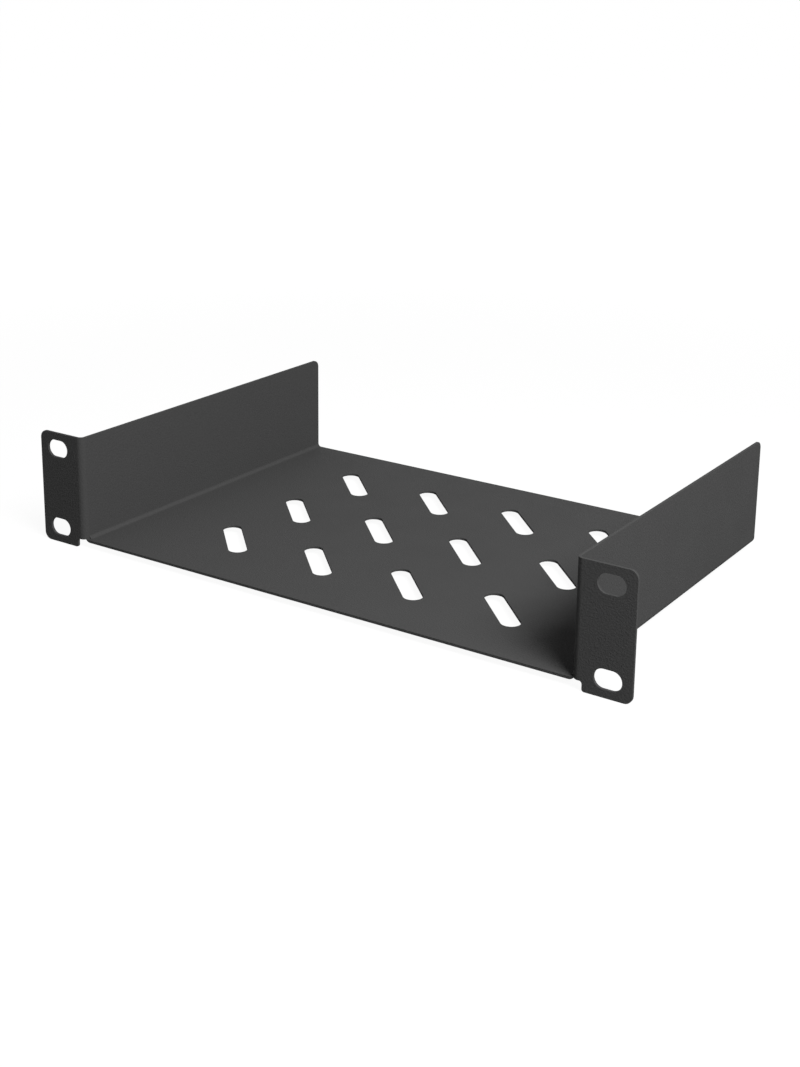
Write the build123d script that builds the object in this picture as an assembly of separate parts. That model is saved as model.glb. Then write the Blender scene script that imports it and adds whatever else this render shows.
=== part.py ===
from build123d import *
import os

# Cantilever shelf for a 10-inch rack, one unit high, folded from one blank of sheet steel:
# a tray, a wall up each side, and an ear folded outwards from the front of each wall.
# X runs across the rack, Y to the back and Z up. The origin is under the middle of the
# shelf, level with the ears' lower edges. All sizes are in millimetres.

# Panel and shelf
panel_width = 254.0        # ear tip to ear tip
panel_height = 44.45       # one rack unit
shelf_depth = 150.0        # front of the ears to the rear edge
ear_width = 20.5           # outside of a wall to the ear's tip
tray_rise = 2.5            # underside of the tray above the ears' lower edges

# Sheet and folds
sheet = 1.0
bend_radius = 1.5          # inside of every fold
corner_radius = 3.0        # outer corners of the ears, rear corners of the walls

# Relief at the foot of each ear, where two folds would run into each other
relief_flat = 1.3          # flat of the ear left between its fold and the relief
relief_corner = 1.0        # inside the relief, and on the tab that it leaves

# Screw slots in the ears
screw_inset = 8.75         # ear's tip to the middle of a slot
screw_edge = 6.35          # ear's upper or lower edge to the middle of a slot
screw_slot_length = 10.0
screw_slot_width = 6.8

# Air slots in the tray, slanted from back left to front right
air_slot_length = 30.0
air_slot_width = 7.2
air_slot_angle = -45.0
air_slot_pitch = 40.0      # middle to middle, across and along
air_slot_margin = 30.0     # least distance from a slot's middle to the tray's edge

# Places that follow from the sizes
half_width = panel_width / 2
wall_outer = half_width - ear_width
wall_inner = wall_outer - sheet
ear_front = -shelf_depth / 2
ear_back = ear_front + sheet
rear = shelf_depth / 2
tray_top = tray_rise + sheet
fold_depth = bend_radius + sheet
wall_front = ear_front + fold_depth
relief_side = wall_outer + bend_radius + relief_flat


def folded_section(points):
    # Section of the sheet: points lie on the face inside the folds, the sheet on their right
    inner_face = FilletPolyline(*points, radius=bend_radius)
    return make_face(offset(inner_face, sheet, side=Side.RIGHT, closed=True))


def slot_count(room):
    return int((room - 2 * air_slot_margin) / air_slot_pitch) + 1


def channel():
    # Tray and walls: a U section along the whole depth, trimmed to its outline from the side
    section = folded_section([
        (-wall_inner, panel_height),
        (-wall_inner, tray_top),
        (wall_inner, tray_top),
        (wall_inner, panel_height),
    ])
    length = extrude(Plane.XZ.offset(-rear) * section, rear - ear_back)

    # The walls start behind their folds to the ears, and the tray's edge reaches the ears' backs
    outline = make_face(Polyline(
        (ear_back, tray_rise),
        (rear, tray_rise),
        (rear, panel_height),
        (wall_front, panel_height),
        (wall_front, tray_top),
        (ear_back, tray_top),
        close=True,
    ))
    top_rear = outline.vertices().sort_by(Axis.Y)[-2:].sort_by(Axis.X)[-1]
    outline = fillet(top_rear, corner_radius)
    return length & extrude(Plane.YZ * outline, wall_outer, both=True)


def right_ear():
    # An L section over the whole height, trimmed to the ear's outline from the front
    section = folded_section([
        (wall_outer, wall_front + fold_depth),
        (wall_outer, ear_back),
        (half_width, ear_back),
    ])
    height = extrude(section, panel_height)

    outline = make_face(Polyline(
        (wall_inner, tray_top),
        (relief_side, tray_top),
        (relief_side, 0),
        (half_width, 0),
        (half_width, panel_height),
        (wall_inner, panel_height),
        close=True,
    ))
    tips = outline.vertices().filter_by_position(Axis.X, half_width, half_width)
    outline = fillet(tips, corner_radius)
    relief = outline.vertices().filter_by_position(Axis.X, relief_side, relief_side)
    outline = fillet(relief, min(relief_corner, 0.45 * tray_top))

    screw_x = half_width - screw_inset
    for screw_z in (screw_edge, panel_height - screw_edge):
        outline -= Pos(screw_x, screw_z) * SlotOverall(screw_slot_length, screw_slot_width)
    return height & extrude(Plane.XZ.offset(-wall_front) * outline, fold_depth)


def air_slots():
    columns = slot_count(2 * wall_inner)
    rows = slot_count(shelf_depth)
    slot = Rot(0, 0, air_slot_angle) * SlotOverall(air_slot_length, air_slot_width)
    grid = GridLocations(air_slot_pitch, air_slot_pitch, columns, rows)
    return [extrude(Pos(0, 0, tray_rise) * place * slot, sheet) for place in grid]


ear = right_ear()
shelf = channel() + ear + mirror(ear, about=Plane.YZ)
shelf -= air_slots()

os.makedirs("parts", exist_ok=True)
export_step(shelf.solid(), "parts/shelf.step")
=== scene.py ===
import math
import bpy
import bmesh
from mathutils import Matrix, Vector


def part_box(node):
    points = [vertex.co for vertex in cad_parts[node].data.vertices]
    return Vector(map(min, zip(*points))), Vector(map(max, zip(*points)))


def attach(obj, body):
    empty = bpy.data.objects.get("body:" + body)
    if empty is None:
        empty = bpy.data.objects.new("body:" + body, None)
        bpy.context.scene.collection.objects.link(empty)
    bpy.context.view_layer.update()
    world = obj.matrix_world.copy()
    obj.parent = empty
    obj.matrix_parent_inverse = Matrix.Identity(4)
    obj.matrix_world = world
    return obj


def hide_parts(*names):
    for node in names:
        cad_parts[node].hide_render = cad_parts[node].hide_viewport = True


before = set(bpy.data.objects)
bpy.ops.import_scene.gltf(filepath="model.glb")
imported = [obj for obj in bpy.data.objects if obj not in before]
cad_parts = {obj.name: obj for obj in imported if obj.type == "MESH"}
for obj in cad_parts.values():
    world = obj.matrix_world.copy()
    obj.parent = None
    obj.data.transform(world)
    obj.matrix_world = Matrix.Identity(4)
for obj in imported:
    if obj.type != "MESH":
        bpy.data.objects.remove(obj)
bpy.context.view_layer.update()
low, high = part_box("shelf")
print("stage: frame loaded")

# camera: where the photo was taken from, in metres, with the photo's framing
photoCamera = {
    "place": (0.31705, -0.48978, 0.22411),
    "heading": 33.248,       # degrees, turned left from looking straight back
    "down": 14.649,
    "roll": 0.748,
    "focal": 1598.1,         # pixels
    "middle": (414.5, 370.5),  # pixel that the lens points at
    "picture": (800.0, 1067.0),
    "sensor": 36.0,
    "near": 0.01,            # metres from the lens to where the view starts
}


def makeCamera(c):
    wide, tall = c["picture"]
    data = bpy.data.cameras.new("photoCamera")
    data.sensor_width = c["sensor"]
    data.lens = c["focal"] * c["sensor"] / tall
    data.shift_x = (wide / 2 - c["middle"][0]) / tall
    data.shift_y = (c["middle"][1] - tall / 2) / tall
    data.clip_start = c["near"]
    camera = bpy.data.objects.new("photoCamera", data)
    bpy.context.scene.collection.objects.link(camera)
    turn = Matrix.Rotation(math.radians(c["heading"]), 4, "Z")
    tilt = Matrix.Rotation(math.radians(90 - c["down"]), 4, "X")
    roll = Matrix.Rotation(math.radians(c["roll"]), 4, "Z")
    camera.matrix_world = Matrix.Translation(c["place"]) @ turn @ tilt @ roll
    bpy.context.scene.camera = camera


makeCamera(photoCamera)
print("stage: camera placed")

# the folded sheet, sizes in metres; its overall width, depth and height come from the frame
sheetSizes = {
    "thickness": 0.001,
    "insideBend": 0.0015,
    "earWidth": 0.0205,
    "trayRise": 0.0025,
    "cornerRadius": 0.003,
    "reliefFlat": 0.0013,
    "reliefCorner": 0.001,
    "screwInset": 0.00875,
    "screwEdge": 0.00635,
    "screwSlot": (0.010, 0.0068),
    "airSlot": (0.030, 0.0072),
    "airAngle": -45.0,
    "airPitch": 0.040,
    "airColumns": 4,
    "airRows": 3,
    "edgeRound": 0.0001,     # how far the coating rounds a cut edge
    "bendSteps": 14,
    "cornerSteps": 12,
    "slotSteps": 20,
    "edgeSteps": 4,
    "spare": 0.002,          # how far a piece runs past what trims it
    "touch": 0.00001,        # how near counts as touching
    "merge": 0.000001,       # how near counts as the same point
    "flatAngle": 0.5,        # degrees below which two faces are one
    "cutAngle": 50.0,        # degrees above which an edge was cut, not bent
    "sharpAngle": 32.0,      # degrees above which the shading breaks
    "almost": 0.9999,        # of half a slot's width, so that no edge shrinks to nothing
}


def newObject(name, bm):
    mesh = bpy.data.meshes.new(name)
    bm.to_mesh(mesh)
    bm.free()
    thing = bpy.data.objects.new(name, mesh)
    bpy.context.scene.collection.objects.link(thing)
    return thing


def flatOutline(bm, corners, shift=(0, 0, 0)):
    # a flat face with rounded corners, which are (place, radius, steps) round its edge
    verts = [bm.verts.new(Vector(place) + Vector(shift)) for place, radius, steps in corners]
    bm.faces.new(verts)
    for radius, steps in sorted({(r, s) for p, r, s in corners if r > 0}):
        group = [v for v, (p, r, s) in zip(verts, corners) if (r, s) == (radius, steps)]
        bmesh.ops.bevel(bm, geom=group, affect="VERTICES", offset=radius, segments=steps,
                        profile=0.5, material=-1, clamp_overlap=False)
    return bm.faces[:][-1]


def prism(name, corners, pull):
    # a solid between a flat outline and its copy; bridged, because an extrude puts its faces
    # in another order each time, and the booleans then split the flat faces another way
    bm = bmesh.new()
    ends = [flatOutline(bm, corners, shift) for shift in (pull, (0, 0, 0))]
    bmesh.ops.bridge_loops(bm, edges=[edge for end in ends for edge in end.edges])
    bmesh.ops.recalc_face_normals(bm, faces=bm.faces[:])
    return newObject(name, bm)


def combine(thing, other, operation):
    # one solid from two; the second is used up
    cut = thing.modifiers.new("combine", "BOOLEAN")
    cut.operation = operation
    cut.solver = "EXACT"
    cut.object = other
    bpy.context.view_layer.update()
    seen = thing.evaluated_get(bpy.context.evaluated_depsgraph_get())
    mesh = bpy.data.meshes.new_from_object(seen)
    old = thing.data
    thing.modifiers.clear()
    thing.data = mesh
    bpy.data.meshes.remove(old)
    bpy.data.objects.remove(other)


def sharpEdges(bm, degrees):
    limit = math.radians(degrees)
    return [e for e in bm.edges if len(e.link_faces) == 2 and e.calc_face_angle(0) > limit]


def foldPlaces(s):
    # where the folds and edges lie, from the frame's outer sizes and the sheet's own
    at = {"halfWidth": high.x, "front": low.y, "rear": high.y, "top": high.z}
    at["outerBend"] = s["insideBend"] + s["thickness"]
    at["earBack"] = at["front"] + s["thickness"]
    at["wallFront"] = at["front"] + at["outerBend"]
    at["wallOuter"] = at["halfWidth"] - s["earWidth"]
    at["wallInner"] = at["wallOuter"] - s["thickness"]
    at["trayTop"] = s["trayRise"] + s["thickness"]
    at["reliefSide"] = at["wallOuter"] + s["insideBend"] + s["reliefFlat"]
    return at


def makeChannel(s, at):
    # tray and walls: the U section pulled through, then trimmed to its outline from the side
    outer, inner, spare = at["wallOuter"], at["wallInner"], s["spare"]
    end, over = at["rear"] + spare, at["top"] + spare
    outside = (at["outerBend"], s["bendSteps"])
    inside = (s["insideBend"], s["bendSteps"])
    section = [
        ((-outer, end, s["trayRise"]), *outside),
        ((outer, end, s["trayRise"]), *outside),
        ((outer, end, over), 0, 0),
        ((inner, end, over), 0, 0),
        ((inner, end, at["trayTop"]), *inside),
        ((-inner, end, at["trayTop"]), *inside),
        ((-inner, end, over), 0, 0),
        ((-outer, end, over), 0, 0),
    ]
    channel = prism("foldedShelf", section, (0, at["earBack"] - end - spare, 0))
    far = outer + spare
    outline = [
        ((-far, at["earBack"], -spare), 0, 0),
        ((-far, at["rear"], -spare), 0, 0),
        ((-far, at["rear"], at["top"]), s["cornerRadius"], s["cornerSteps"]),
        ((-far, at["wallFront"], at["top"]), 0, 0),
        ((-far, at["wallFront"], at["trayTop"]), 0, 0),
        ((-far, at["earBack"], at["trayTop"]), 0, 0),
    ]
    combine(channel, prism("sideOutline", outline, (2 * far, 0, 0)), "INTERSECT")
    return channel


def makeEar(s, at, side):
    # an L section pulled up, trimmed to the ear's outline from the front; side is 1 or -1
    spare = s["spare"]
    tip, behind = side * (at["halfWidth"] + spare), at["wallFront"] + spare
    inner, outer = side * at["wallInner"], side * at["wallOuter"]
    section = [
        ((inner, behind, -spare), 0, 0),
        ((inner, at["front"], -spare), at["outerBend"], s["bendSteps"]),
        ((tip, at["front"], -spare), 0, 0),
        ((tip, at["earBack"], -spare), 0, 0),
        ((outer, at["earBack"], -spare), s["insideBend"], s["bendSteps"]),
        ((outer, behind, -spare), 0, 0),
    ]
    ear = prism("ear", section, (0, 0, at["top"] + 2 * spare))
    near, edge = side * (at["wallInner"] - spare), side * at["halfWidth"]
    relief = side * at["reliefSide"]
    before = at["front"] - spare
    roundRelief = (s["reliefCorner"], s["cornerSteps"])
    roundCorner = (s["cornerRadius"], s["cornerSteps"])
    outline = [
        ((near, before, at["trayTop"]), 0, 0),
        ((relief, before, at["trayTop"]), *roundRelief),
        ((relief, before, 0), *roundRelief),
        ((edge, before, 0), *roundCorner),
        ((edge, before, at["top"]), *roundCorner),
        ((near, before, at["top"]), 0, 0),
    ]
    combine(ear, prism("earOutline", outline, (0, at["wallFront"] - before, 0)), "INTERSECT")
    return ear


def roundCutEdges(shelf, s, at):
    # the coating rounds every cut edge, apart from the small steps where the two folds meet
    stepSide = at["wallOuter"] + s["insideBend"]
    stepBack = at["wallFront"] + s["touch"]
    stepTop = at["trayTop"] + s["insideBend"] + s["touch"]

    def inSteps(v):
        return abs(v.co.x) < stepSide and v.co.y < stepBack and v.co.z < stepTop

    bm = bmesh.new()
    bm.from_mesh(shelf.data)
    bmesh.ops.remove_doubles(bm, verts=bm.verts[:], dist=s["merge"])
    bmesh.ops.dissolve_limit(bm, angle_limit=math.radians(s["flatAngle"]),
                             verts=bm.verts[:], edges=bm.edges[:])
    cut = [e for e in sharpEdges(bm, s["cutAngle"]) if not all(inSteps(v) for v in e.verts)]
    bmesh.ops.bevel(bm, geom=cut, affect="EDGES", offset=s["edgeRound"], segments=s["edgeSteps"],
                    profile=0.5, material=-1, clamp_overlap=False)
    bm.to_mesh(shelf.data)
    bm.free()


def slotRing(bm, length, width, height, s):
    # a flat ring with two straight sides and two round ends, at that height
    w, l = width / 2, length / 2
    corners = ((-l, -w), (l, -w), (l, w), (-l, w))
    return flatOutline(bm, [((x, y, height), w * s["almost"], s["slotSteps"]) for x, y in corners])


def slotCutter(name, size, places, s):
    # cutters for slots with rounded rims: the ring widens towards both faces of the sheet
    length, width = size
    r, t, steps = s["edgeRound"], s["thickness"], s["edgeSteps"]
    bm = bmesh.new()
    turns = [math.pi / 2 * (steps - k) / steps for k in range(steps + 1)]
    rim = [(r, -s["spare"])] + [(r * (1 - math.cos(a)), r * (1 - math.sin(a))) for a in turns]
    levels = rim + [(flare, t - depth) for flare, depth in reversed(rim)]
    caps = [slotRing(bm, length + 2 * flare, width + 2 * flare, depth, s) for flare, depth in levels]
    rings = [list(cap.edges) for cap in caps]
    for first, second in zip(rings, rings[1:]):
        bmesh.ops.bridge_loops(bm, edges=first + second)
    bmesh.ops.delete(bm, geom=caps[1:-1], context="FACES_ONLY")
    bmesh.ops.remove_doubles(bm, verts=bm.verts[:], dist=s["merge"])
    bmesh.ops.recalc_face_normals(bm, faces=bm.faces[:])
    cutter = bpy.data.meshes.new(name)
    bm.to_mesh(cutter)
    bm.clear()
    for place in places:
        known = len(bm.verts)
        bm.from_mesh(cutter)
        bm.verts.ensure_lookup_table()
        bmesh.ops.transform(bm, matrix=place, verts=bm.verts[known:])
    bpy.data.meshes.remove(cutter)
    return newObject(name, bm)


def airPlaces(s):
    # slanted slots in rows and columns on the tray's middle
    turn = Matrix.Rotation(math.radians(s["airAngle"]), 4, "Z")
    columns = [s["airPitch"] * (i - (s["airColumns"] - 1) / 2) for i in range(s["airColumns"])]
    rows = [s["airPitch"] * (j - (s["airRows"] - 1) / 2) for j in range(s["airRows"])]
    return [Matrix.Translation((x, y, s["trayRise"])) @ turn for y in rows for x in columns]


def screwPlaces(s, at):
    # one slot near each end of both ears
    turn = Matrix.Rotation(math.radians(90), 4, "X")
    out = at["halfWidth"] - s["screwInset"]
    heights = (s["screwEdge"], at["top"] - s["screwEdge"])
    return [Matrix.Translation((x, at["earBack"], z)) @ turn for x in (-out, out) for z in heights]


def smoothBends(shelf, s):
    bm = bmesh.new()
    bm.from_mesh(shelf.data)
    bmesh.ops.remove_doubles(bm, verts=bm.verts[:], dist=s["merge"])
    for face in bm.faces:
        face.smooth = True
    for edge in sharpEdges(bm, s["sharpAngle"]):
        edge.smooth = False
    bm.to_mesh(shelf.data)
    bm.free()
    even = shelf.modifiers.new("evenNormals", "WEIGHTED_NORMAL")
    even.keep_sharp = True


def makeShelf(s):
    at = foldPlaces(s)
    shelf = makeChannel(s, at)
    for side in (1, -1):
        combine(shelf, makeEar(s, at, side), "UNION")
    roundCutEdges(shelf, s, at)
    combine(shelf, slotCutter("airSlots", s["airSlot"], airPlaces(s), s), "DIFFERENCE")
    combine(shelf, slotCutter("screwSlots", s["screwSlot"], screwPlaces(s, at), s), "DIFFERENCE")
    smoothBends(shelf, s)
    return shelf


shelf = makeShelf(sheetSizes)
print("stage: sheet folded")


def toLinear(hexColour):
    # sRGB hex to the linear values that shaders take
    parts = [int(hexColour[i:i + 2], 16) / 255 for i in (1, 3, 5)]
    return tuple(c / 12.92 if c <= 0.04045 else ((c + 0.055) / 1.055) ** 2.4 for c in parts) + (1,)


def addNode(tree, kind, settings=None, inputs=None):
    # settings are the node's own, inputs are values or sockets to link from
    node = tree.nodes.new(kind)
    for name, value in (settings or {}).items():
        setattr(node, name, value)
    for name, value in (inputs or {}).items():
        socket = node.inputs[name]
        if isinstance(value, bpy.types.NodeSocket):
            tree.links.new(value, socket)
        else:
            socket.default_value = value
    return node


# fine-textured black powder coat on steel, sprayed dry and baked: the eye sees an even, matt
# near-black with hardly any shine, a fine pebbled grain where light rakes it, and soft edges
coatFinish = {
    "dark": "#404040",
    "light": "#444444",
    "pebble": 0.0007,        # a real one is about 0.3 mm, too fine to show in a render
    "pebbleHeight": 0.00016,  # raised to match
    "pebbleNoise": {"Detail": 3.0, "Roughness": 0.6},
    "cloud": 0.018,          # size of the faint uneven patches
    "cloudNoise": {"Detail": 4.0, "Roughness": 0.55},
    "pebbleShare": 0.85,     # of the change in colour; the patches make the rest
    "spread": (0.3, 0.7),    # where nearly all of the noise lies
    "roughness": (0.70, 0.80),
    "specular": 0.038,
}


def powderCoat(c):
    material = bpy.data.materials.new("powderCoat")
    material.use_nodes = True
    tree = material.node_tree
    tree.nodes.clear()
    place = addNode(tree, "ShaderNodeTexCoord").outputs["Object"]
    pebbles = addNode(tree, "ShaderNodeTexNoise", inputs={
        "Vector": place, "Scale": 1 / c["pebble"], **c["pebbleNoise"]})
    clouds = addNode(tree, "ShaderNodeTexNoise", inputs={
        "Vector": place, "Scale": 1 / c["cloud"], **c["cloudNoise"]})
    patches = addNode(tree, "ShaderNodeMath", {"operation": "MULTIPLY"}, {
        0: clouds.outputs["Fac"], 1: 1 - c["pebbleShare"]})
    mixed = addNode(tree, "ShaderNodeMath", {"operation": "MULTIPLY_ADD"}, {
        0: pebbles.outputs["Fac"], 1: c["pebbleShare"], 2: patches.outputs[0]})
    tone = addNode(tree, "ShaderNodeMapRange", inputs={
        "Value": mixed.outputs[0], "From Min": c["spread"][0], "From Max": c["spread"][1]})
    colour = addNode(tree, "ShaderNodeMix", {"data_type": "RGBA"}, {
        "Factor": tone.outputs[0], "A": toLinear(c["dark"]), "B": toLinear(c["light"])})
    rough = addNode(tree, "ShaderNodeMapRange", inputs={
        "Value": clouds.outputs["Fac"], "From Min": c["spread"][0], "From Max": c["spread"][1],
        "To Min": c["roughness"][0], "To Max": c["roughness"][1]})
    bump = addNode(tree, "ShaderNodeBump", inputs={
        "Strength": 1.0, "Distance": c["pebbleHeight"], "Height": pebbles.outputs["Fac"]})
    surface = addNode(tree, "ShaderNodeBsdfPrincipled", inputs={
        "Base Color": colour.outputs["Result"], "Roughness": rough.outputs[0],
        "Normal": bump.outputs[0], "Specular IOR Level": c["specular"]})
    addNode(tree, "ShaderNodeOutputMaterial", inputs={"Surface": surface.outputs[0]})
    return material


shelf.data.materials.clear()
shelf.data.materials.append(powderCoat(coatFinish))
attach(shelf, "root")
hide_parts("shelf")
print("stage: shelf coated")

# plain white studio: floor and surroundings look white, the lamps do the lighting
studio = {
    "floorSize": 30.0,
    "floorDrop": 0.0001,
    "bounce": "#707070",     # the floor as it lights the shelf
    "shadowed": "#4a4a4a",   # the part of the floor's look that a shadow takes away
    "glow": (0.94, 1.0),     # the rest of its look, near the shelf and far from it
    "fade": (0.25, 0.8),     # metres over which near turns into far
    "sky": "#ffffff",        # all round, above the floor's edge
}

# softboxes: degrees round from straight ahead to the right, degrees up, metres away, size and
# watts; the last two only lift the sides that face away from the photo, and give no shine
lamps = {
    "key": {"round": 57.5, "up": 41.5, "away": 1.2, "size": (0.40, 0.40), "power": 9.3, "shine": True},
    "side": {"round": 65.0, "up": 45.5, "away": 0.9, "size": (0.36, 0.36), "power": 6.9, "shine": True},
    "fill": {"round": 250.0, "up": 62.0, "away": 0.35, "size": (0.25, 0.25), "power": 0.2, "shine": True},
    "left": {"round": 250.0, "up": 6.0, "away": 1.2, "size": (0.60, 0.20), "power": 4.3, "shine": False},
    "back": {"round": 180.0, "up": 6.0, "away": 1.2, "size": (0.60, 0.20), "power": 2.0, "shine": False},
}


def seenDirectly(tree):
    # 1 for the rays that show the background: to the camera, in a reflection, through glass
    path = addNode(tree, "ShaderNodeLightPath")
    first = addNode(tree, "ShaderNodeMath", {"operation": "MAXIMUM"}, {
        0: path.outputs["Is Camera Ray"], 1: path.outputs["Is Glossy Ray"]})
    return addNode(tree, "ShaderNodeMath", {"operation": "MAXIMUM"}, {
        0: first.outputs[0], 1: path.outputs["Is Transmission Ray"]}).outputs[0]


def makeFloor(c):
    bm = bmesh.new()
    bmesh.ops.create_grid(bm, x_segments=1, y_segments=1, size=c["floorSize"] / 2)
    bmesh.ops.translate(bm, verts=bm.verts[:], vec=(0, 0, -c["floorDrop"]))
    floor = newObject("floor", bm)
    material = bpy.data.materials.new("whiteFloor")
    material.use_nodes = True
    tree = material.node_tree
    tree.nodes.clear()
    place = addNode(tree, "ShaderNodeTexCoord").outputs["Object"]
    away = addNode(tree, "ShaderNodeVectorMath", {"operation": "LENGTH"}, {"Vector": place})
    strength = addNode(tree, "ShaderNodeMapRange", {"interpolation_type": "SMOOTHSTEP"}, {
        "Value": away.outputs["Value"], "From Min": c["fade"][0], "From Max": c["fade"][1],
        "To Min": c["glow"][0], "To Max": c["glow"][1]})
    paper = addNode(tree, "ShaderNodeBsdfDiffuse", inputs={"Color": toLinear(c["bounce"])})
    shown = addNode(tree, "ShaderNodeBsdfDiffuse", inputs={"Color": toLinear(c["shadowed"])})
    glow = addNode(tree, "ShaderNodeEmission", inputs={"Strength": strength.outputs[0]})
    both = addNode(tree, "ShaderNodeAddShader", inputs={0: shown.outputs[0], 1: glow.outputs[0]})
    mix = addNode(tree, "ShaderNodeMixShader", inputs={
        0: seenDirectly(tree), 1: paper.outputs[0], 2: both.outputs[0]})
    addNode(tree, "ShaderNodeOutputMaterial", inputs={"Surface": mix.outputs[0]})
    floor.data.materials.append(material)


def makeWorld(c):
    world = bpy.data.worlds.new("studio")
    bpy.context.scene.world = world
    world.use_nodes = True
    tree = world.node_tree
    tree.nodes.clear()
    sky = addNode(tree, "ShaderNodeBackground", inputs={
        "Color": toLinear(c["sky"]), "Strength": seenDirectly(tree)})
    addNode(tree, "ShaderNodeOutputWorld", inputs={"Surface": sky.outputs[0]})


def makeLamps(softboxes):
    for name, c in softboxes.items():
        data = bpy.data.lights.new(name, "AREA")
        data.shape = "RECTANGLE"
        data.size, data.size_y = c["size"]
        data.energy = c["power"]
        lamp = bpy.data.objects.new(name, data)
        bpy.context.scene.collection.objects.link(lamp)
        side, up = math.radians(c["round"]), math.radians(c["up"])
        way = Vector((math.sin(side) * math.cos(up), -math.cos(side) * math.cos(up), math.sin(up)))
        lamp.location = way * c["away"]
        lamp.rotation_euler = (-way).to_track_quat("-Z", "Y").to_euler()
        lamp.visible_camera = False
        lamp.visible_glossy = c["shine"]


makeFloor(studio)
makeWorld(studio)
makeLamps(lamps)
bpy.context.scene.view_settings.view_transform = "Standard"
print("stage: studio lit")
